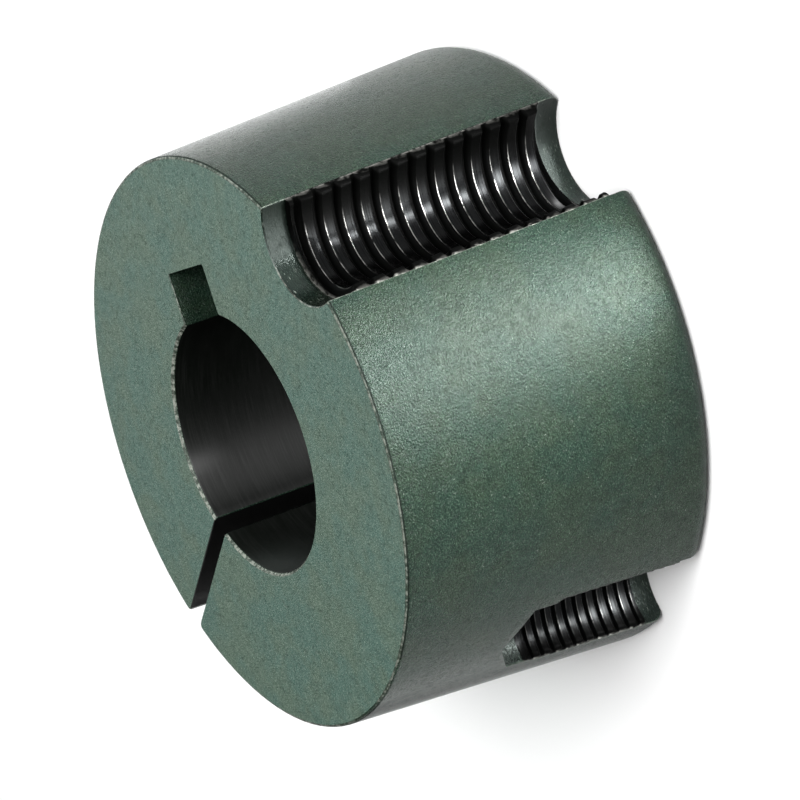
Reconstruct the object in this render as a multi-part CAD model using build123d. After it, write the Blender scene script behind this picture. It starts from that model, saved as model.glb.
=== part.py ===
"""Split taper bush for a keyed shaft, one piece of iron.

Frame: millimetres, +Z up. The bush stands on its large end. The origin is the
centre of the large end face, +Z runs along the bore towards the small end and
+X points at the middle of the threaded half hole. Angles are measured about +Z
from +X.

The outside carries three half holes; the hub holds their other halves. One is
threaded from end to end, for the screw that jacks the bush out, and its ridges
run out just below both lips. The other two are blind and take the screws that
draw the bush in.
"""

import os
from math import acos, cos, floor, radians, sin, sqrt, tan

from build123d import *

# ---- Driving dimensions ----

# Body: a frustum, turned all over
length = 25.4
large_end_diameter = 47.6
taper_half_angle = 4.0
large_end_rounding = 1.1
small_end_chamfer = 0.25

# Bore and keyway
bore_diameter = 20.0
bore_chamfer = 0.2
keyway_width = 6.0
keyway_depth = 3.6
keyway_angle = 55.0

# Saw cut that lets the bush close on the shaft
slit_width = 1.5
slit_angle = 180.0
slit_mouth_rounding = 0.5

# Half holes for the screws, all on one pitch circle and parallel to the bore
screw_pitch_diameter = 46.0

# Threaded half hole for the jacking screw, relieved at both ends
jack_angle = 0.0
jack_thread_diameter = 9.525
jack_core_diameter = 8.4
jack_pitch = 25.4 / 16
jack_root_flat = 0.22
jack_flank_angle = 27.5  # from the plane across the hole
jack_relief_diameter = 9.6
jack_relief_depth = 2.0
jack_runout_angle = 17.0  # round the hole from each lip, where the ridges slope away

# Blind half holes for the clamping screws, drilled from the large end and
# relieved at the mouth
clamp_angles = (85.0, 265.0)
clamp_diameter = 8.4
clamp_relief_diameter = 9.0
clamp_relief_depth = 2.0
clamp_depth = 14.3
drill_point_angle = 130.0

# ---- Sizes that follow ----

bore_radius = bore_diameter / 2
small_end_diameter = large_end_diameter - 2 * length * tan(radians(taper_half_angle))
runout = 2.0  # how far a cutter runs past the face that it cuts
rising = (Align.CENTER, Align.CENTER, Align.MIN)


def turned_body():
    """Frustum with a rounded large end, a broken small end and a chamfered bore."""
    body = Cone(large_end_diameter / 2, small_end_diameter / 2, length, align=rising)
    body = fillet(body.edges().group_by(Axis.Z)[0], large_end_rounding)
    body = chamfer(body.edges().group_by(Axis.Z)[-1], small_end_chamfer)
    body -= Cylinder(bore_radius, length, align=rising)
    mouths = [edge for edge in body.edges().filter_by(GeomType.CIRCLE) if edge.radius < bore_radius + bore_chamfer]
    return chamfer(mouths, bore_chamfer)


def outside_radius(height):
    """Radius of the cone at a height."""
    return large_end_diameter / 2 - height * tan(radians(taper_half_angle))


def along_outside(section):
    """Ruled solid through the section worked out for a height past each end of the bush."""
    return loft([Pos(0, 0, height) * section(height) for height in (-runout, length + runout)], ruled=True)


def radial_cut(reach, width):
    """Square bar from the axis out along +X to a reach, through both ends."""
    return Pos(0, 0, -runout) * Box(reach, width, length + 2 * runout, align=(Align.MIN, Align.CENTER, Align.MIN))


def mouth_section(height):
    """Half section of the rounding that the mouth of the saw cut has on +Y, at one height."""
    wall = slit_width / 2
    side = wall + slit_mouth_rounding
    face = sqrt(outside_radius(height) ** 2 - side**2)
    depth = face - slit_mouth_rounding
    middle = slit_mouth_rounding * cos(radians(45))
    outline = Curve() + [
        Polyline((depth, 0), (depth, wall)),
        ThreePointArc((depth, wall), (depth + middle, side - middle), (face, side)),
        Polyline((face, side), (face + runout, side), (face + runout, 0), (depth, 0)),
    ]
    return make_face(outline)


def saw_cut():
    """Straight cut out to +X, opened by a quarter round on both sides of its mouth."""
    half_mouth = along_outside(mouth_section)
    cutter = radial_cut(large_end_diameter / 2 + runout, slit_width) + half_mouth
    return cutter + mirror(half_mouth, about=Plane.XZ)


def on_pitch_circle(cutter, angle):
    """Stand a cutter on the screws' pitch circle, its own +X facing outwards."""
    return Rot(0, 0, angle) * Pos(screw_pitch_diameter / 2, 0, 0) * cutter


def thread_cut(start, turns):
    """Right-handed V groove that starts and ends on +X, where the bush is not."""
    depth = (jack_thread_diameter - jack_core_diameter) / 2
    overlap = depth / 4
    flare = (depth + overlap) * tan(radians(jack_flank_angle))
    helix = Helix(jack_pitch, turns * jack_pitch, jack_core_diameter / 2, center=(0, 0, start))
    across = Plane(origin=helix @ 0, x_dir=(1, 0, 0), z_dir=helix % 0)
    outline = Polygon(
        (-overlap, jack_root_flat / 2 + flare),
        (depth, jack_root_flat / 2),
        (depth, -jack_root_flat / 2),
        (-overlap, -jack_root_flat / 2 - flare),
        align=None,
    )
    return sweep(across * outline, path=helix, is_frenet=True)


def lip_section(height):
    """Section of the cut that slopes the ridges away below the lips, at one height."""
    pitch_radius, root, core = screw_pitch_diameter / 2, jack_thread_diameter / 2, jack_core_diameter / 2
    lip = (outside_radius(height) ** 2 - pitch_radius**2 - root**2) / (2 * pitch_radius)
    foot_angle = acos(lip / root) + radians(jack_runout_angle)
    side = sqrt(root**2 - lip**2)
    below = [(core * cos(foot_angle), -core * sin(foot_angle)), (lip, -side), (lip + runout, -side)]
    above = [(x, -y) for x, y in reversed(below)]
    return Polygon(*below, *above, align=None)


def jack_hole():
    """Core right through, a relief at each end and a whole number of turns between."""
    core = Pos(0, 0, -runout) * Cylinder(jack_core_diameter / 2, length + 2 * runout, align=rising)
    relief = Cylinder(jack_relief_diameter / 2, jack_relief_depth + runout, align=rising)
    lower = Pos(0, 0, -runout) * relief
    upper = Pos(0, 0, length - jack_relief_depth) * relief
    turns = floor((length - jack_relief_depth) / jack_pitch)
    thread = thread_cut((length - turns * jack_pitch) / 2, turns)
    return [core, lower, upper, thread, along_outside(lip_section)]


def clamp_hole():
    """Drilled hole with its point and a relief at the mouth."""
    radius = clamp_diameter / 2
    drill = Pos(0, 0, -runout) * Cylinder(radius, clamp_depth + runout, align=rising)
    point_height = radius / tan(radians(drill_point_angle / 2))
    point = Pos(0, 0, clamp_depth) * Cone(radius, 0, point_height, align=rising)
    relief = Pos(0, 0, -runout) * Cylinder(clamp_relief_diameter / 2, clamp_relief_depth + runout, align=rising)
    return [drill, point, relief]


bush = turned_body() - Rot(0, 0, slit_angle) * saw_cut()
bush -= Rot(0, 0, keyway_angle) * radial_cut(bore_radius + keyway_depth, keyway_width)
for cutter in jack_hole():
    bush -= on_pitch_circle(cutter, jack_angle)
for clamp_angle in clamp_angles:
    for cutter in clamp_hole():
        bush -= on_pitch_circle(cutter, clamp_angle)

os.makedirs("parts", exist_ok=True)
export_step(bush, "parts/taper_bush.step")
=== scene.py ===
from math import atan2, cos, pi, radians, sin, tan

import bmesh
import bpy
import numpy as np
from mathutils import Matrix, Vector


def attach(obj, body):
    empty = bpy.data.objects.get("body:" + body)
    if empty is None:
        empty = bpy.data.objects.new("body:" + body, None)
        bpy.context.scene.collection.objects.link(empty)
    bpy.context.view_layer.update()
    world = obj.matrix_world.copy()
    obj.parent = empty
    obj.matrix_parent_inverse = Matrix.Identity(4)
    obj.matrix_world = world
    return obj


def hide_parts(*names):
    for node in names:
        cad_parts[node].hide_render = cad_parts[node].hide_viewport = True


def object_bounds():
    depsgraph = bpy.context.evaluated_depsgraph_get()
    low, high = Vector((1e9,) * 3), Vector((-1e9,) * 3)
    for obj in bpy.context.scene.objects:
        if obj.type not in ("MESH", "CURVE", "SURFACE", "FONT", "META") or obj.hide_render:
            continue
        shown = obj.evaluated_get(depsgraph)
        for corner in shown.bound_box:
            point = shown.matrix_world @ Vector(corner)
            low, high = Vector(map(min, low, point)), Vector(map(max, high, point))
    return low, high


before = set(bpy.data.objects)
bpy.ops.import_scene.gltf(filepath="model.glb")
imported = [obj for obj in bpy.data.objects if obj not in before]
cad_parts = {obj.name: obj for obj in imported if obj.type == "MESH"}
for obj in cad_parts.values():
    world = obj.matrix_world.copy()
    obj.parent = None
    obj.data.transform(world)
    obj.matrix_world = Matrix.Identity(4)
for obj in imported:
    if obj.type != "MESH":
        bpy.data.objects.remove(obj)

cad_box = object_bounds()

# ---- The bush ----
# One piece of iron, turned and bored, then drilled for three screws whose other
# halves are in the hub, threaded, slotted for a key and sawn through on one
# side. It is phosphated dark green; the threads and the bore keep an oily black, and painted shade darkens
# the thread valleys, the saw cut and some edges.

# The skin is one grid. A row is the closed outline at one height, and the parts of
# the outline follow each other round the bush: outside, half holes, saw cut, bore
# and keyway. Sizes are in millimetres, and heights count from the large end.
MM = 0.001
length = (cad_box[1].z - cad_box[0].z) / MM

# The turned body
large_end_radius = 23.8
taper_slope = tan(radians(4.0))
large_end_rounding = 1.1
small_end_rounding = 0.25


def outer_radius(z):
    """A cone that narrows upwards, run into each end face by a circle tangent to the cone and the face."""
    cone = large_end_radius - z * taper_slope
    tilt = np.arctan(taper_slope)
    for rounding, height, way in ((large_end_rounding, z, -1), (small_end_rounding, length - z, 1)):
        middle = length - rounding if way > 0 else rounding
        centre = large_end_radius - middle * taper_slope - rounding / np.cos(tilt)
        fall = np.clip(rounding - height, 0, rounding)
        arc = centre + np.sqrt(rounding ** 2 - fall ** 2)
        cone = np.where(height < rounding * (1 - way * np.sin(tilt)), np.minimum(arc, cone), cone)
    return cone


def opened(z, width):
    """How much a hole is opened at height z by a chamfer of that width at both end faces."""
    return np.clip(width - z, 0, width) + np.clip(width - (length - z), 0, width)


# rows that every column shares: round the large end's edge, and over the small end's edge
low_rows = large_end_rounding * (1 - np.cos(np.radians([0, 11, 22, 35.1, 44, 54, 63, 76, 90])))
high_rows = length - np.array([0.22, 0.16, 0.10, 0.085, 0.065, 0.04, 0.0])

# The threaded half hole, open from end to end. A profile gives the distance from the middle of the groove and
# the share of the depth there: flat root, flank, rounded crest edge. A run-out gives the length over which a
# ridge slopes away at a lip, for its upper edge and its lower one
screw_circle = 23.0
relief_depth = 2.0
broken_edge = 0.1
jack_core, jack_root, jack_pitch = 4.2, 4.7625, 25.4 / 16
jack_relief = 4.8
jack_profile = ((0.0, 0.07, 0.13, 0.36, 0.40, 0.43), (1.0, 1.0, 0.95, 0.06, 0.012, 0.0))
jack_runout = (0.5, 0.3)


def thread_depth(turn, pitch, profile):
    """Share of the thread's depth at a helical coordinate in turns.

    The profile is read at the distance along the hole from the middle of the nearest groove.
    """
    away = np.abs((turn + 0.5) % 1 - 0.5) * pitch
    return np.interp(away, *profile)


def lip_angle(root, z):
    """Angle round the hole's axis at which a wall of radius root meets the outside.

    Its cosine is (R² - c² - root²) / (2·c·root), with R the outside's radius and c the screw circle.
    """
    cosine = (outer_radius(z) ** 2 - screw_circle ** 2 - root ** 2) / (2 * screw_circle * root)
    return np.arccos(np.clip(cosine, -1, 1))


def ridge_share(psi, z, turn, root, pitch, runout):
    """Share of a ridge's height that is left near a lip.

    It is the way down the wall from the lip over the run-out, which grows from the ridge's lower edge to its
    upper one. The share s is eased into the full ridge by s·(2 - s).
    """
    upper, lower = runout
    lip = lip_angle(root, z)
    down = root * np.clip(np.minimum(psi - lip, 2 * pi - lip - psi), 0, None)
    across = np.clip((turn % 1 - 0.5) * 2.4 + 0.5, 0, 1)
    share = np.clip(down / (lower + (upper - lower) * across), 0, 1)
    return share * (2 - share)


def jack_wall(psi, z):
    """Radius of the wall at angle psi about the hole's own axis: root less the ridges, relief beyond them."""
    turn = z / jack_pitch - psi / (2 * pi)
    ridge = 1 - thread_depth(turn, jack_pitch, jack_profile)
    ridge = ridge * ridge_share(psi, z, turn, jack_root, jack_pitch, jack_runout)
    rho = jack_root - (jack_root - jack_core) * ridge
    cut = (z < relief_depth) | (z > length - relief_depth)
    return np.where(cut, jack_relief, rho) + opened(z, broken_edge)


def helical_rows(low, high, pitch, offsets):
    """Heights between two levels that repeat the offsets about every groove's middle on the deepest line."""
    least_gap = 0.04
    middles = pitch * (np.arange(-1, length / pitch) + 0.5)
    rows = np.sort(np.concatenate([middles + way * offset for offset in offsets for way in (-1, 1)]))
    return rows[(rows > low + least_gap) & (rows < high - least_gap)]


step = 0.02  # half the height of a relief shoulder's steep face
thread_span = (relief_depth + step, length - relief_depth - step)
jack_rows = np.concatenate([
    low_rows, [1.45, 1.85, relief_depth - step, relief_depth + step],
    helical_rows(*thread_span, jack_pitch, (0.07, 0.13, 0.36, 0.40, 0.43, 0.47)),
    length - np.array([relief_depth + step, relief_depth - step, 1.85, 1.3, 0.9, 0.5]), high_rows,
])

# The two clamping half holes, drilled from the large end, with fine ridges and a drill's cone
clamp_core, clamp_root, clamp_pitch = 4.0, 4.35, 25.4 / 27
clamp_relief = 4.5
clamp_profile = ((0.0, 0.09, 0.12, 0.17, 0.20, 0.24), (1.0, 0.97, 0.85, 0.15, 0.03, 0.0))
clamp_runout = (0.4, 0.25)
clamp_angles = (radians(-95.0), radians(85.0))
clamp_thread_end = 12.4
clamp_wall_end = 14.3
clamp_point = clamp_core / tan(radians(65.0))


def clamp_wall(psi, z):
    """Radius of a clamping hole's wall: relief, fine ridges, plain wall, then the drill's cone to nothing."""
    turn = z / clamp_pitch - psi / (2 * pi)
    ridge = 1 - thread_depth(turn, clamp_pitch, clamp_profile)
    share = ridge_share(psi, z, turn, clamp_root, clamp_pitch, clamp_runout)
    rho = clamp_root - (clamp_root - clamp_core) * np.where(z < clamp_thread_end, ridge * share, 1)
    rho = np.where(z < relief_depth, clamp_relief, rho) + opened(z, broken_edge)
    cone = clamp_core * np.clip(1 - (z - clamp_wall_end) / clamp_point, 0.01, 1)
    return np.where(z > clamp_wall_end, cone, rho)


def tip_of_clamp():
    """Height at which the drill's cone leaves the outside, found by halving."""
    low, high = clamp_wall_end, clamp_wall_end + clamp_point
    for _ in range(40):
        middle = (low + high) / 2
        inside = clamp_wall(0.0, middle) > screw_circle - outer_radius(middle)
        low, high = (middle, high) if inside else (low, middle)
    return low


tip = tip_of_clamp()
clamp_span = (relief_depth + step, clamp_thread_end)
clamp_rows = np.concatenate([
    low_rows, [1.45, 1.75, relief_depth - step, relief_depth + step],
    helical_rows(*clamp_span, clamp_pitch, (0.04, 0.09, 0.12, 0.17, 0.20, 0.27)),
    [clamp_thread_end + step, 12.8, 13.3, 13.8, clamp_wall_end - step],
    clamp_wall_end + (tip - clamp_wall_end) * np.linspace(0, 1, 9),
])
spare = len(jack_rows) - len(clamp_rows) - len(high_rows)
clamp_rows = np.concatenate([clamp_rows, np.linspace(tip, high_rows[0], spare + 2)[1:-1], high_rows])


def bend(start, corner, end, count):
    """Points between start and end on the parabola that leaves and arrives along the corner's two sides."""
    t = (np.arange(1, count + 1) / (count + 1))[None, :, None]
    return (1 - t) ** 2 * start[:, None] + 2 * t * (1 - t) * corner[:, None] + t ** 2 * end[:, None]


def polar(radius, angle):
    """Cartesian pair of a radius and an angle."""
    return np.stack([radius * np.cos(angle), radius * np.sin(angle)], -1)


def turned(points, angle):
    """Points turned about the bush's axis."""
    c, s = cos(angle), sin(angle)
    return points @ np.array([[c, s], [-s, c]])


def half_hole(angle, wall, rows, pitch, span, tip_height, count):
    """A half hole's two lips and its wall between them, row by row.

    A lip is where the wall's radius rho meets the outside R: cos(psi) = (R² - c² - rho²) / (2·c·rho), with c
    the screw circle. A row climbs with the thread, by pitch·(psi - pi) / (2·pi), and is level beyond the
    thread's ends. Above the tip there is no hole, and the same columns lie on the outside, further apart on
    each row.
    """
    fan_width, fan_power = 0.14, 0.8  # the columns above the tip: half angle at the small end, and its growth
    crowding = 0.08  # draws the wall's columns together near the lips
    lip_wear = (0.7, 0.3)
    burr_turn, burr_reach = 0.74, 0.045  # where the ridges run out at the first lip, in turns
    fade = np.clip((rows - span[0]) / pitch, 0, 1) * np.clip((span[1] - rows) / pitch, 0, 1)
    gone = rows > tip_height - 1e-9
    fan = fan_width * np.clip((rows - tip_height) / (length - tip_height + 1e-9), 0, 1) ** fan_power

    def climb(psi):
        """Height of each row at an angle round the hole."""
        return (rows + fade * pitch * (psi.T - pi) / (2 * pi)).T

    def place(rho, psi):
        """Point of a radius and an angle about the hole's own axis."""
        return np.stack([screw_circle + rho * np.cos(psi), rho * np.sin(psi)], -1)

    lips = []
    for side in (-1, 1):
        lip = np.full(len(rows), pi / 2)
        for _ in range(12):
            psi = pi - side * (pi - lip)
            z = climb(psi)
            rho, reach = wall(psi, z), outer_radius(z)
            cosine = (reach ** 2 - screw_circle ** 2 - rho ** 2) / (2 * screw_circle * rho)
            lip = np.arccos(np.clip(cosine, -1, 1))
        edge = np.where(gone, fan * reach, rho * np.sin(lip))
        cut = np.minimum(broken_edge, 0.2 * edge)
        lip_point = place(rho, psi)
        theta = np.where(gone, side * fan, np.arctan2(lip_point[:, 1], lip_point[:, 0]))
        outside, inside = theta + side * cut / reach, theta - side * cut / reach
        inward = psi + side * cut / rho
        wall_point = np.where(gone[:, None], polar(reach, inside), place(rho, inward))
        points = (polar(reach, outside), polar(reach, theta), wall_point)
        lips.append({"psi": inward, "z": z, "outside": outside, "inside": inside,
                     "xy": bend(*points[::-side], 2)})
    first, last = lips

    def joined(name, between):
        """A value of the two lips, two columns each, with the wall's own between them."""
        before, after = (lip[name][:, None].repeat(2, 1) for lip in lips)
        return np.concatenate([before, between, after], axis=1)

    even = np.linspace(0, 1, count)
    t = even - crowding * np.sin(2 * pi * even)
    psi = first["psi"][:, None] + (last["psi"] - first["psi"])[:, None] * t
    z = climb(psi)
    on_outside = first["inside"][:, None] + (last["inside"] - first["inside"])[:, None] * t
    rho = wall(psi, z)
    xy = np.where(gone[:, None, None], polar(outer_radius(z), on_outside), place(rho, psi))
    psi, z = joined("psi", psi), joined("z", z)
    turn = z / pitch - psi / (2 * pi)
    return {
        "xy": turned(np.concatenate([first["xy"], xy, last["xy"]], axis=1), angle),
        "z": z,
        "rho": np.pad(rho, ((0, 0), (2, 2)), constant_values=np.inf),
        "psi": psi,
        "turn": turn,
        "first_lip": psi[:, :1],
        "last_lip": psi[:, -1:],
        "worn": np.concatenate([lip_wear, np.zeros(count), lip_wear[::-1]]),
        "burr": (np.abs(turn % 1 - burr_turn) < burr_reach) & (np.arange(count + 4) < 2),
        "start": (angle + first["outside"], first["z"]),
        "end": (angle + last["outside"], last["z"]),
    }


lower = half_hole(clamp_angles[0], clamp_wall, clamp_rows, clamp_pitch, clamp_span, tip, 46)
jack = half_hole(0.0, jack_wall, jack_rows, jack_pitch, thread_span, 2 * length, 64)
upper = half_hole(clamp_angles[1], clamp_wall, clamp_rows, clamp_pitch, clamp_span, tip, 46)


def outside_arc(start, end, count):
    """The turned outside between two lips: angle and height both go evenly from one to the other."""
    t = np.linspace(0, 1, count)
    theta = start[0][:, None] * (1 - t) + end[0][:, None] * t
    z = start[1][:, None] * (1 - t) + end[1][:, None] * t
    return {"xy": polar(outer_radius(z), theta), "z": z}


# The bore, and the saw cut that lets the bush close on the shaft; their rows are level
bore_radius = 10.0
bore_chamfer = 0.2
slit_half_width = 0.75
slit_mouth_rounding = 0.5
slit_mouth_wear, slit_bore_wear = 0.45, 0.01
cut_chamfer = 0.06

between = len(jack_rows) - len(low_rows) - len(high_rows)
level_rows = np.concatenate([low_rows, np.linspace(low_rows[-1], high_rows[0], between + 2)[1:-1], high_rows])
outside = outer_radius(level_rows)
bore = bore_radius + opened(level_rows, bore_chamfer)
slit = slit_half_width + opened(level_rows, cut_chamfer)
slit_mouth = np.arcsin((slit + slit_mouth_rounding) / outside)
slit_in_bore = pi - np.arcsin((slit + broken_edge) / bore)


def run(start, end, count):
    """Evenly spaced points of a straight line, both ends included."""
    t = np.linspace(0, 1, count)[None, :, None]
    return start[:, None] * (1 - t) + end[:, None] * t


def bore_arc(start, end, count):
    """The bore's wall between two angles."""
    return {"xy": polar(bore[:, None], run(start[:, None], end[:, None], count)[..., 0])}


def slit_side(side):
    """One wall of the saw cut, from its rounded mouth on the outside to the broken edge at the bore.

    The wall is a plane at the slit's half width, from -√(outside² - slit²) to -√(bore² - slit²).
    """
    mouth, inner = -np.sqrt(outside ** 2 - slit ** 2), -np.sqrt(bore ** 2 - slit ** 2)

    def at(x):
        """Point of the wall at a way along it."""
        return np.stack([x, side * slit], -1)

    rounding = bend(polar(outside, side * (pi - slit_mouth)), at(mouth), at(mouth + slit_mouth_rounding), 4)
    wall = run(at(mouth + slit_mouth_rounding), at(inner - broken_edge), 6)
    edge = bend(at(inner - broken_edge), at(inner), polar(bore, side * slit_in_bore), 2)
    return [{"xy": rounding, "worn": slit_mouth_wear}, {"xy": wall}, {"xy": edge, "worn": slit_bore_wear}]


def backwards(parts):
    """The same points in the other order."""
    return [{**part, "xy": part["xy"][:, ::-1]} for part in parts[::-1]]


# The keyway, broached from end to end
key_half_width = 3.0
key_bottom = 13.6
key_angle = radians(55.0)
key_root_rounding = 0.25

key = key_half_width + opened(level_rows, cut_chamfer)
key_in_bore = np.arcsin((key + broken_edge) / bore)


def key_side(side):
    """Half of the keyway, from the bore's edge along the wall and over the root to the bottom's middle."""
    mouth = np.sqrt(bore ** 2 - key ** 2)
    wall_end, floor_start = key_bottom - key_root_rounding, key - key_root_rounding

    def at(u, v):
        """Point at a way out along the keyway and a way to the side."""
        return np.stack([u * np.ones(len(level_rows)), side * v * np.ones(len(level_rows))], -1)

    parts = [
        bend(polar(bore, side * key_in_bore), at(mouth, key), at(mouth + broken_edge, key), 2),
        run(at(mouth + broken_edge, key), at(wall_end, key), 4),
        bend(at(wall_end, key), at(key_bottom, key), at(key_bottom, floor_start), 2),
        run(at(key_bottom, floor_start), at(key_bottom, 0.25 * key), 3),
    ]
    return [{"xy": turned(part, key_angle)} for part in parts]


# The outline all round, closed from its last column to its first
parts = [
    ("outside", outside_arc((slit_mouth - pi, level_rows), lower["start"], 24)),
    ("clamp", lower),
    ("outside", outside_arc(lower["end"], jack["start"], 28)),
    ("jack", jack),
    ("outside", outside_arc(jack["end"], upper["start"], 24)),
    ("clamp", upper),
    ("outside", outside_arc(upper["end"], (pi - slit_mouth, level_rows), 28)),
]
parts += [("slit", part) for part in slit_side(1)]
parts += [("bore", bore_arc(slit_in_bore, key_angle + key_in_bore, 34))]
parts += [("key", part) for part in key_side(1) + backwards(key_side(-1))]
parts += [("bore", bore_arc(key_angle - key_in_bore, -slit_in_bore, 66))]
parts += [("slit", part) for part in backwards(slit_side(-1))]

kind = np.repeat([name for name, _ in parts], [part["xy"].shape[1] for _, part in parts])


def everywhere(name, default):
    """One value over the whole grid, from the parts that have it and the default in the others."""
    values = [np.broadcast_to(part.get(name, default), part["xy"].shape[:2]) for _, part in parts]
    return np.concatenate(values, axis=1)


def near(distance, reach, fall):
    """1 close by and 0 beyond the reach, with an even fall before it."""
    return np.clip((reach - distance) / fall, 0, 1)


xy = np.concatenate([part["xy"] for _, part in parts], axis=1)
rows, columns = xy.shape[:2]
heights = everywhere("z", level_rows[:, None])
turn = everywhere("turn", 0.0)
psi = everywhere("psi", pi)
rho = everywhere("rho", np.inf)
worn = everywhere("worn", 0.0)
half_holes = (kind == "clamp") | (kind == "jack")
in_relief = (heights < relief_depth) | (heights > length - relief_depth)

# Wear and painted shade: above 0 bright from handling, 1.1 and more a bare burr, below 0 painted shade, dark
# and rough. Lips, shoulders and the edge that the bush stands on are bright
stand_reach, shoulder_reach, shoulder_wear = 0.05, 0.05, 0.6
lip_there = (heights <= tip) | (kind != "clamp")
wear_and_shade = np.maximum(worn * lip_there, np.clip(1 - heights / stand_reach, 0, 1))
from_top_shoulder = np.where(kind == "jack", np.abs(heights - length + relief_depth), length)
from_shoulder = np.minimum(np.abs(heights - relief_depth), from_top_shoulder)
shoulder = shoulder_wear * np.clip(1.4 - from_shoulder / shoulder_reach, 0, 1)
wear_and_shade = np.maximum(wear_and_shade, np.where(in_relief & half_holes, shoulder, 0))

# the small end's edge is worn and carries a painted highlight beside the face, with a line of painted shade
# below it; the bore's chamfer is bright
rim_depths = (0.0, 0.04, 0.065, 0.085, 0.10, 0.15, 0.20)
rim_light_and_shade = np.interp(length - heights, rim_depths, (0.4, 0.7, 0.6, 0.1, -1.0, -0.9, 0.0))
edge_wear_light_and_shade = np.where(kind == "outside", rim_light_and_shade, np.maximum(wear_and_shade, np.clip(rim_light_and_shade, 0, 1)))
wear_and_shade = np.where(length - heights < small_end_rounding, edge_wear_light_and_shade, wear_and_shade)
wear_and_shade = np.where((kind == "bore") & (length - heights < bore_chamfer), 1.0, wear_and_shade)

# a bare burr stands on each ridge's end at the first lip
burr_wear = 1.5
ridges_end = np.where(kind == "jack", length - relief_depth, clamp_thread_end)
wear_and_shade = wear_and_shade + burr_wear * everywhere("burr", False) * (heights > relief_depth) * (heights < ridges_end)

# painted shade darkens the large end's rounded edge, and a band of the outside beside the lower clamping hole
painted_shade_at_large_end = 0.5 * np.clip(1.2 - heights / large_end_rounding, 0, 1)
wear_and_shade = np.where((kind == "outside") & (heights > 0.1), wear_and_shade - painted_shade_at_large_end, wear_and_shade)
shade_angle, shade_width = -109, 8
around = np.degrees(np.arctan2(xy[..., 1], xy[..., 0]))
painted_shade_beside_clamp = 0.45 * np.exp(-((around - shade_angle) / shade_width) ** 2)
wear_and_shade = np.where(kind == "outside", wear_and_shade - painted_shade_beside_clamp, wear_and_shade)

# painted shade darkens the jacking hole's reliefs down from the second lip; far is past every lip, for the
# other parts
far = 9.0
from_first = jack_root * (everywhere("first_lip", far) - psi)
from_last = jack_root * (psi - everywhere("last_lip", -far))
shaded = in_relief & (kind == "jack") & np.isfinite(rho)
wear_and_shade = np.where(shaded, wear_and_shade - 0.6 * near(from_last, 4.4, 1.2), wear_and_shade)

# Black oil and painted shade lie in the valleys: in all of a wide groove but only on the flanks of a fine
# one.
# Painted shade also covers the wall near its lips, and the saw cut
jack_depth = np.clip((rho - jack_core) / (jack_root - jack_core), 0, 1)
clamp_depth = np.clip((rho - clamp_core) / (clamp_root - clamp_core), 0, 1)
groove, flank = np.clip(jack_depth / 0.10, 0, 1), np.clip(4.8 * clamp_depth * (1 - clamp_depth), 0, 1)
coarse_oil_and_shade = np.maximum(groove, np.maximum(near(from_first, 1.6, 1.1), near(from_last, 3.9, 1.8)))
fine_oil_and_shade = np.maximum(flank, np.maximum(near(from_first, 1.7, 1.1), near(from_last, 1.0, 0.9)))
oil_and_shade = np.where(kind == "jack", coarse_oil_and_shade, fine_oil_and_shade)
oil_and_shade = np.where(np.isin(kind, ("slit", "bore", "key")), (kind == "slit") * 1.0, oil_and_shade)

# The mesh: a quad between each two rows and columns, and one face with many corners at each end
points = np.concatenate([xy, heights[..., None]], axis=-1).reshape(-1, 3) * MM
across = np.arange(columns)[None, :]
up = np.arange(rows - 1)[:, None] * columns
cell, after = up + across, up + (across + 1) % columns
quads = np.stack([cell, after, after + columns, cell + columns], axis=-1).reshape(-1, 4)
ends = [list(range(columns))[::-1], list(range((rows - 1) * columns, rows * columns))]
mesh = bpy.data.meshes.new("taper_bush_skin")
mesh.from_pydata(points.tolist(), [], quads.tolist() + ends)

# each face's finish, by the number of its material
SIDE, COARSE_THREAD, BORED, END_FACE, DRILLED, FINE_THREAD = range(6)
centre_z = heights.ravel()[quads].mean(axis=1)
centre_kind = np.tile(kind, rows - 1)
thread_start = relief_depth - 1.5 * step
on_wall = np.tile(np.isfinite(rho[0]), rows - 1) & ((centre_kind == "jack") | (centre_z < tip))
coarse = (centre_kind == "jack") & (centre_z > thread_start) & (centre_z < length - thread_start)
fine = (centre_kind == "clamp") & (centre_z > thread_start) & (centre_z < clamp_thread_end + 0.6)
# the saw cut's walls take the near-black bored finish, as painted shade
shaded_saw_cut = (centre_kind == "slit") & np.tile(worn[0] == 0, rows - 1)
bored = (centre_kind == "bore") & (centre_z > bore_chamfer) & (centre_z < length - bore_chamfer)
finish = np.full(len(quads), SIDE)
finish[on_wall] = DRILLED
finish[coarse] = COARSE_THREAD
finish[fine] = FINE_THREAD
finish[shaded_saw_cut | bored] = BORED
finish = np.concatenate([finish, [END_FACE, END_FACE]]).astype(np.int32)
mesh.polygons.foreach_set("material_index", finish)

for label, values in (("wear_and_shade", wear_and_shade), ("turn", turn), ("oil_and_shade", oil_and_shade)):
    corners = values.ravel()[quads].ravel()
    layer = mesh.attributes.new(label, "FLOAT", "CORNER")
    layer.data.foreach_set("value", np.concatenate([corners, np.zeros(2 * columns)]).astype(np.float32))

shape = bmesh.new()
shape.from_mesh(mesh)
bmesh.ops.remove_doubles(shape, verts=shape.verts, dist=1e-7)
shape.to_mesh(mesh)
shape.free()

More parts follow.
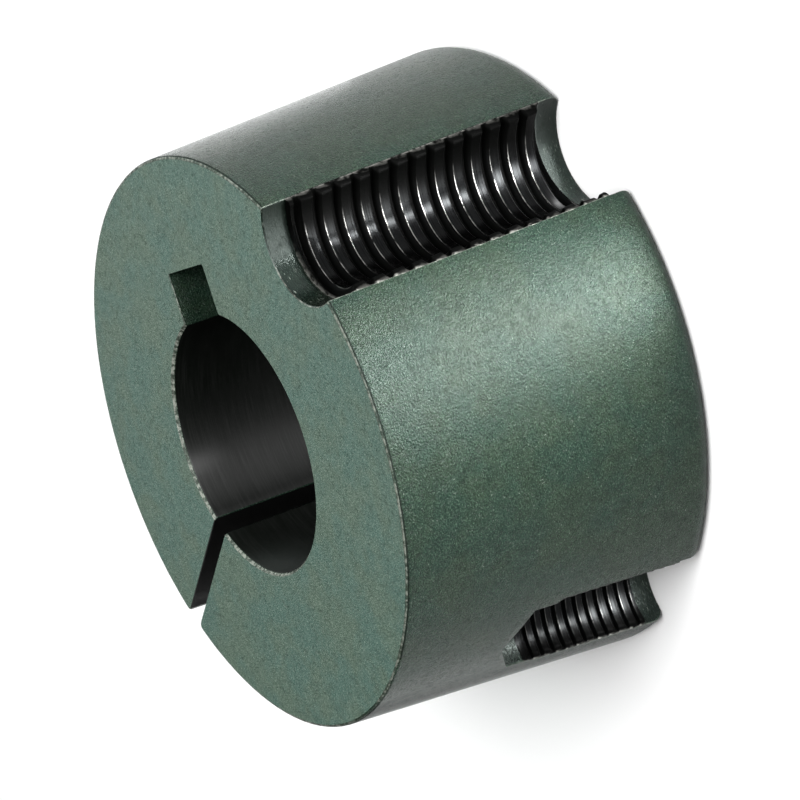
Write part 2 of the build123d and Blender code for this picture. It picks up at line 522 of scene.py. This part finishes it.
# sharp are the edges round the two end faces, and all that turn by more than the angle
mesh.polygons.foreach_set("use_smooth", np.ones(len(mesh.polygons), dtype=bool))
mesh.set_sharp_from_angle(angle=radians(36))
places = np.empty(3 * len(mesh.vertices), dtype=np.float32)
mesh.vertices.foreach_get("co", places)
pairs = np.empty(2 * len(mesh.edges), dtype=np.int32)
mesh.edges.foreach_get("vertices", pairs)
sharp = np.empty(len(mesh.edges), dtype=bool)
mesh.edges.foreach_get("use_edge_sharp", sharp)
edge_z = places[2::3][pairs.reshape(-1, 2)]
at_an_end = (np.abs(edge_z) < 1e-6).all(axis=1) | (np.abs(edge_z - length * MM) < 1e-6).all(axis=1)
mesh.edges.foreach_set("use_edge_sharp", sharp | at_an_end)
bush = bpy.data.objects.new("taper_bush_body", mesh)
bpy.context.collection.objects.link(bush)


class Number:
    """A number that varies over a surface. It wraps a socket, and arithmetic on it adds Math nodes."""

    def __init__(self, finish, socket):
        self.finish = finish
        self.socket = socket

    def maths(self, operation, *values):
        """The result of one Math node."""
        made = self.finish.node("ShaderNodeMath", {"operation": operation}, dict(enumerate(values)))
        return Number(self.finish, made.outputs[0])

    def __add__(self, other):
        return self.maths("ADD", self, other)

    def __sub__(self, other):
        return self.maths("SUBTRACT", self, other)

    def __rsub__(self, other):
        return self.maths("SUBTRACT", other, self)

    def __mul__(self, other):
        return self.maths("MULTIPLY", self, other)

    __radd__, __rmul__ = __add__, __mul__

    def fraction(self):
        """What is left after the whole number."""
        return self.maths("FRACT", self)

    def size(self):
        """The number without its sign."""
        return self.maths("ABSOLUTE", self)

    def rise(self, low, high):
        """0 below low, 1 above high and smooth between them; low may be the larger."""
        flip = low > high
        span = {"interpolation_type": "SMOOTHSTEP"}
        bounds = {"From Min": high if flip else low, "From Max": low if flip else high,
                  "To Min": 1.0 if flip else 0.0, "To Max": 0.0 if flip else 1.0}
        made = self.finish.node("ShaderNodeMapRange", span, {"Value": self, **bounds})
        return Number(self.finish, made.outputs[0])


class Finish:
    """A material under construction."""

    def __init__(self, name):
        self.material = bpy.data.materials.new(name)
        self.material.use_nodes = True
        self.tree = self.material.node_tree
        self.tree.nodes.clear()
        self.place = self.node("ShaderNodeTexCoord").outputs["Object"]

    def node(self, kind, settings=None, sockets=None):
        """Adds a node: its type, its settings, then the values or links of its sockets."""
        made = self.tree.nodes.new(kind)
        for name, value in (settings or {}).items():
            setattr(made, name, value)
        for name, value in (sockets or {}).items():
            source = value.socket if isinstance(value, Number) else value
            if isinstance(source, bpy.types.NodeSocket):
                self.tree.links.new(source, made.inputs[name])
            else:
                made.inputs[name].default_value = source
        return made

    def noise(self, grain, detail=2.0, stretch=(1, 1, 1), roughness=0.5):
        """Noise with grains of about that many millimetres, longer along an axis stretched by more."""
        finer = {"Vector": self.place, "Scale": [1 / (grain * MM * s) for s in stretch]}
        moved = self.node("ShaderNodeMapping", {"vector_type": "POINT"}, finer)
        sockets = {"Vector": moved.outputs[0], "Scale": 1.0, "Detail": detail, "Roughness": roughness}
        return Number(self, self.node("ShaderNodeTexNoise", {}, sockets).outputs["Fac"])

    def attribute(self, name):
        """A value that the mesh carries."""
        return Number(self, self.node("ShaderNodeAttribute", {"attribute_name": name}).outputs["Fac"])

    def mix(self, factor, first, second):
        """Blend of two colours."""
        sockets = {0: factor, 6: first, 7: second}
        return self.node("ShaderNodeMix", {"data_type": "RGBA"}, sockets).outputs[2]

    def bump(self, height, distance, strength=1.0):
        """A relief that is the distance high, in millimetres."""
        sockets = {"Height": height, "Distance": distance * MM, "Strength": strength}
        return self.node("ShaderNodeBump", {}, sockets).outputs[0]

    def close(self, **sockets):
        """Ends the material with one Principled shader."""
        named = {name.replace("_", " "): value for name, value in sockets.items()}
        shader = self.node("ShaderNodeBsdfPrincipled", {}, named)
        self.node("ShaderNodeOutputMaterial", {}, {"Surface": shader.outputs[0]})
        return self.material


def grey(value):
    """The grey of that brightness."""
    return (value, value, value, 1.0)


def phosphate(name, shade, mottling, streak, relief, ior):
    """Dark green phosphate: fine crystals drawn out along the turning, soft teal and warm clouds, worn edges,
    and painted shade where the wear attribute is below 0.

    shade scales the colours' red, green and blue, mottling is how much the colours differ, streak is how long
    the crystals are round the bush for their width, and relief is the height of their bumps in millimetres.
    """
    f = Finish(name)

    def tinted(red, green, blue):
        """A colour scaled by the shade."""
        return (red * shade[0], green * shade[1], blue * shade[2], 1)

    teal, warm = tinted(0.0145, 0.035, 0.0260), tinted(0.0205, 0.036, 0.0225)
    light, dark = tinted(0.070, 0.108, 0.080), tinted(0.004, 0.010, 0.007)
    bright, painted_shade_dark, worn_bright = (0.20, 0.23, 0.20, 1), (0.001, 0.002, 0.001, 1), (0.40, 0.42, 0.37, 1)
    drawn_out = (streak, streak, 1)

    cloud, mottle = f.noise(4.0, 3.0, roughness=0.6), f.noise(1.1, 4.0, roughness=0.6)
    grain = f.noise(0.09, 2.0, stretch=drawn_out, roughness=0.75)
    hair = f.noise(0.125, 2.0, stretch=drawn_out, roughness=0.7)
    speck = f.noise(0.11, 1.0, stretch=drawn_out).rise(0.68, 0.74)
    crack = (f.noise(0.30, 3.0, stretch=(1.5, 1.5, 1), roughness=0.6) - 0.5).size().rise(0.05, 0.0)
    crack = crack * f.noise(0.5, 2.0).rise(0.45, 0.65)
    edge = f.attribute("wear_and_shade")
    painted_shade = edge.rise(0.0, -1.0)
    patches = f.noise(0.35, 3.0).rise(0.40, 0.62) * 0.85 + 0.15
    worn = edge.rise(0.0, 1.0) * patches + edge.rise(1.1, 1.9) * 0.6

    colour = f.mix(cloud.rise(0.36, 0.64) * mottling, teal, warm)
    colour = f.mix(mottle.rise(0.62, 0.30) * mottling * 0.3, colour, dark)
    colour = f.mix(grain.rise(0.50, 0.74) * mottling * 0.9, colour, light)
    colour = f.mix(grain.rise(0.50, 0.28) * mottling * 0.9, colour, dark)
    colour = f.mix(crack * 0.6, colour, dark)
    colour = f.mix(speck * mottle.rise(0.42, 0.60) * 0.5, colour, bright)
    # painted shade: near black where the wear attribute is below 0
    colour = f.mix(painted_shade * 0.9, colour, painted_shade_dark)
    colour = f.mix(worn * 0.6, colour, worn_bright)
    rough = 0.09 + hair * 0.14 + grain * 0.18 + crack * 0.15 - worn * 0.05 + painted_shade * 0.45
    return f.close(Base_Color=colour, Roughness=rough, Metallic=0.0,
                   Normal=f.bump(grain * 0.6 + hair * 1.6 - crack * 0.3, relief),
                   IOR=ior, Specular_Tint=(0.86, 1.0, 0.94, 1.0))


def shaded_oiled_thread(name, shine, highlight_strength):
    """Cut thread: burnished crests with tool marks along the turn, black oil and painted shade in the
    valleys, and a painted highlight along each crest's upper edge.

    shine scales the crests' colour; the second number is the strength of the painted highlight along each
    crest's upper edge.
    """
    f = Finish(name)
    burnished, mark_dark = (0.0080 * shine, 0.0085 * shine, 0.0087 * shine, 1), (0.002, 0.002, 0.002, 1)
    burr, black_oil_and_shade, bare = (0.24, 0.24, 0.23, 1), (0.0010, 0.0011, 0.0010, 1), (0.40, 0.40, 0.37, 1)
    turn, oil_and_shade = f.attribute("turn"), f.attribute("oil_and_shade")
    along = {"W": turn * 16, "Scale": 1.0, "Detail": 3.0}
    mark = Number(f, f.node("ShaderNodeTexNoise", {"noise_dimensions": "1D"}, along).outputs["Fac"])
    worn = f.attribute("wear_and_shade") * f.noise(0.4, 3.0).rise(0.35, 0.6)
    crest_highlight = (turn.fraction() - 0.72).size().rise(0.035, 0.01)

    colour = f.mix(mark.rise(0.42, 0.66) * 0.8, burnished, mark_dark)
    # painted highlight: a bright line, in the burr colour, along each crest's upper edge
    colour = f.mix(crest_highlight * f.noise(0.7, 2.0).rise(0.3, 0.6) * highlight_strength, colour, burr)
    # black oil and painted shade in the valleys and near the lips
    colour = f.mix(oil_and_shade, colour, black_oil_and_shade)
    colour = f.mix(worn * 0.4, colour, bare)
    rough = 0.18 + mark * 0.10 + oil_and_shade * 0.25
    return f.close(Base_Color=colour, Roughness=rough, Metallic=1.0 - oil_and_shade,
                   Normal=f.bump(mark, 0.008, 0.6), IOR=1.09)


def bored_iron():
    """Bored iron, near black, with faint marks round the bore; the saw cut has the same, made near black by
    painted shade.
    """
    f = Finish("bored_iron")
    streak, oil_and_shade = f.noise(0.09, 2.0, stretch=(30, 30, 1)), f.attribute("oil_and_shade")
    colour = f.mix(streak.rise(0.4, 0.75), (0.003, 0.004, 0.003, 1), (0.010, 0.011, 0.010, 1))
    colour = f.mix(oil_and_shade, colour, (0.001, 0.001, 0.001, 1))
    return f.close(Base_Color=colour, Roughness=0.40 + streak * 0.1 + oil_and_shade * 0.4, Metallic=0.0,
                   Normal=f.bump(streak, 0.006, 0.4), IOR=1.5, Anisotropic=0.9, Anisotropic_Rotation=0.25)


finishes = {
    SIDE: phosphate("phosphated_iron", (0.58, 0.65, 0.58), 1.2, 1.4, 0.046, 1.34),
    COARSE_THREAD: shaded_oiled_thread("shaded_oiled_thread", 1.0, 0.8),
    BORED: bored_iron(),
    # the end faces' copy is lighter, partly a smoother finish and partly painted light
    END_FACE: phosphate("phosphated_face_painted_light", (4.0, 3.2, 3.5), 0.6, 1.2, 0.022, 1.28),
    # the drilled walls' copy has longer streaks and is darker, as painted shade
    DRILLED: phosphate("phosphated_hole_painted_shade", (0.20, 0.20, 0.20), 1.0, 5.0, 0.012, 1.36),
    FINE_THREAD: shaded_oiled_thread("shaded_oiled_fine_thread", 1.1, 0.2),
}
for number in sorted(finishes):
    bush.data.materials.append(finishes[number])
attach(bush, "root")
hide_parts("taper_bush")


# ---- Floor, lights and camera ----
# A pale table under soft overhead lamps. Strips of light that lie on the table
# draw the bright band down the bush's side, and small gridded lamps beside them
# light the walls of the two half holes that face the viewer.

def table_top(name, width, depth, colour):
    """A flat rectangle of floor about the origin."""
    x, y = width / 2, depth / 2
    made = bpy.data.meshes.new(name)
    made.from_pydata([(-x, -y, 0), (x, -y, 0), (x, y, 0), (-x, y, 0)], [], [(0, 1, 2, 3)])
    made.materials.append(Finish(name).close(Base_Color=colour, Roughness=0.9))
    top = bpy.data.objects.new(name, made)
    bpy.context.collection.objects.link(top)
    return top


floor = table_top("floor", 8.0, 8.0, grey(0.95))


def direction(azimuth, elevation):
    """The unit vector of an azimuth and an elevation given in degrees."""
    a, e = radians(azimuth), radians(elevation)
    return Vector((cos(a) * cos(e), sin(a) * cos(e), sin(e)))


def soft_light(name, azimuth, elevation, distance, size, power, aim=(0, 0, 0.012), colour=(1, 1, 1)):
    """A rectangular lamp that faces the aim from a direction given in degrees."""
    lamp = bpy.data.lights.new(name, "AREA")
    lamp.shape = "RECTANGLE"
    lamp.size, lamp.size_y = size
    lamp.energy = power
    lamp.color = colour
    made = bpy.data.objects.new(name, lamp)
    back = direction(azimuth, elevation)
    made.location = Vector(aim) + back * distance
    made.rotation_euler = back.to_track_quat("Z", "Y").to_euler()
    made.visible_camera = False
    bpy.context.collection.objects.link(made)
    return made


def floor_strip(name, foot, azimuth, near, far, width, power):
    """A lamp that lies on the floor and shines up: it runs from near to far of the foot, in millimetres."""
    a, middle = radians(azimuth), (near + far) / 2
    strip = soft_light(name, 0, 90, 0.0, ((far - near) * MM, width * MM), power)
    strip.location = ((foot[0] + cos(a) * middle) * MM, (foot[1] + sin(a) * middle) * MM, 0.0006)
    strip.rotation_euler = (pi, 0, a)
    return strip


def wall_glint(name, foot, azimuth, heights, radiance):
    """Small gridded lamps low on the floor. Each faces a point of a hole's wall, up at the view's own slope.

    The first number of a pair is the point's height, the second the lamp's size, both in millimetres.
    """
    slope, lamp_height, patch = 28, 1.5, 4
    for number, (height, size) in enumerate(heights):
        distance = (height - lamp_height) / sin(radians(slope))
        point = (foot[0] * MM, foot[1] * MM, height * MM)
        half = atan2(patch, distance)
        power = radiance * (size * MM * sin(half)) ** 2 * pi / 6
        shape = (size * MM / 2, size * MM)
        lamp = soft_light(f"{name}_{number}", azimuth, -slope, distance * MM, shape, power, point)
        lamp.data.spread = 2 * half


soft_light("key", -12, 48, 0.8, (0.5, 0.4), 6.0)
soft_light("back", 124, 36, 0.8, (0.7, 0.4), 1.5)
soft_light("right", 95, 22, 0.8, (0.5, 0.4), 1.4, colour=(0.84, 1.0, 0.93))
soft_light("top", -30, 72, 0.8, (0.5, 0.5), 3.0)
soft_light("glow", 20, 60, 0.25, (0.16, 0.16), 0.09)
soft_light("card", -29, 7, 0.6, (0.10, 0.08), 1.2)
floor_strip("band_near", (0, 0), -27, 26, 45, 8, 0.0105)
floor_strip("band_middle", (0, 0), -27, 45, 75, 18, 0.082)
floor_strip("band_far", (0, 0), -27, 75, 130, 36, 0.045)
wall_glint("jack_glint", (18.8, 0), -10, ((4.5, 4), (9, 7), (14, 8), (19, 9)), 205)
floor_strip("relief_glint", (18.8, 2.2), -24, 0.8, 3.4, 1.6, 0.00010)
wall_glint("clamp_glint", (-5.4, -20.7), -35, ((4.5, 3.5), (8, 4.5), (11.5, 5)), 85)
floor_strip("haze_near", (0, 0), 112, 25, 60, 35, 0.0036)
floor_strip("haze_far", (0, 0), 112, 60, 130, 80, 0.0018)

world = bpy.data.worlds.new("studio")
world.use_nodes = True
world.node_tree.nodes["Background"].inputs["Color"].default_value = grey(1.0)
world.node_tree.nodes["Background"].inputs["Strength"].default_value = 0.02
bpy.context.scene.world = world
bpy.context.scene.view_settings.view_transform = "Standard"

camera = bpy.data.cameras.new("camera")
camera.sensor_width = 36.0
camera.lens = 179.55
camera.clip_start, camera.clip_end = 0.01, 10.0
eye = bpy.data.objects.new("camera", camera)
aim = Vector((-0.09, -0.87, 11.98)) * MM
back = direction(-31.44, 27.64)
roll = radians(109.62)
eye.location = aim + back * 0.29958
right = Vector((0, 0, 1)).cross(back).normalized()
level = Matrix((right, back.cross(right), back)).transposed()
eye.rotation_euler = (level @ Matrix.Rotation(-roll, 3, "Z")).to_euler()
bpy.context.collection.objects.link(eye)
bpy.context.scene.camera = eye
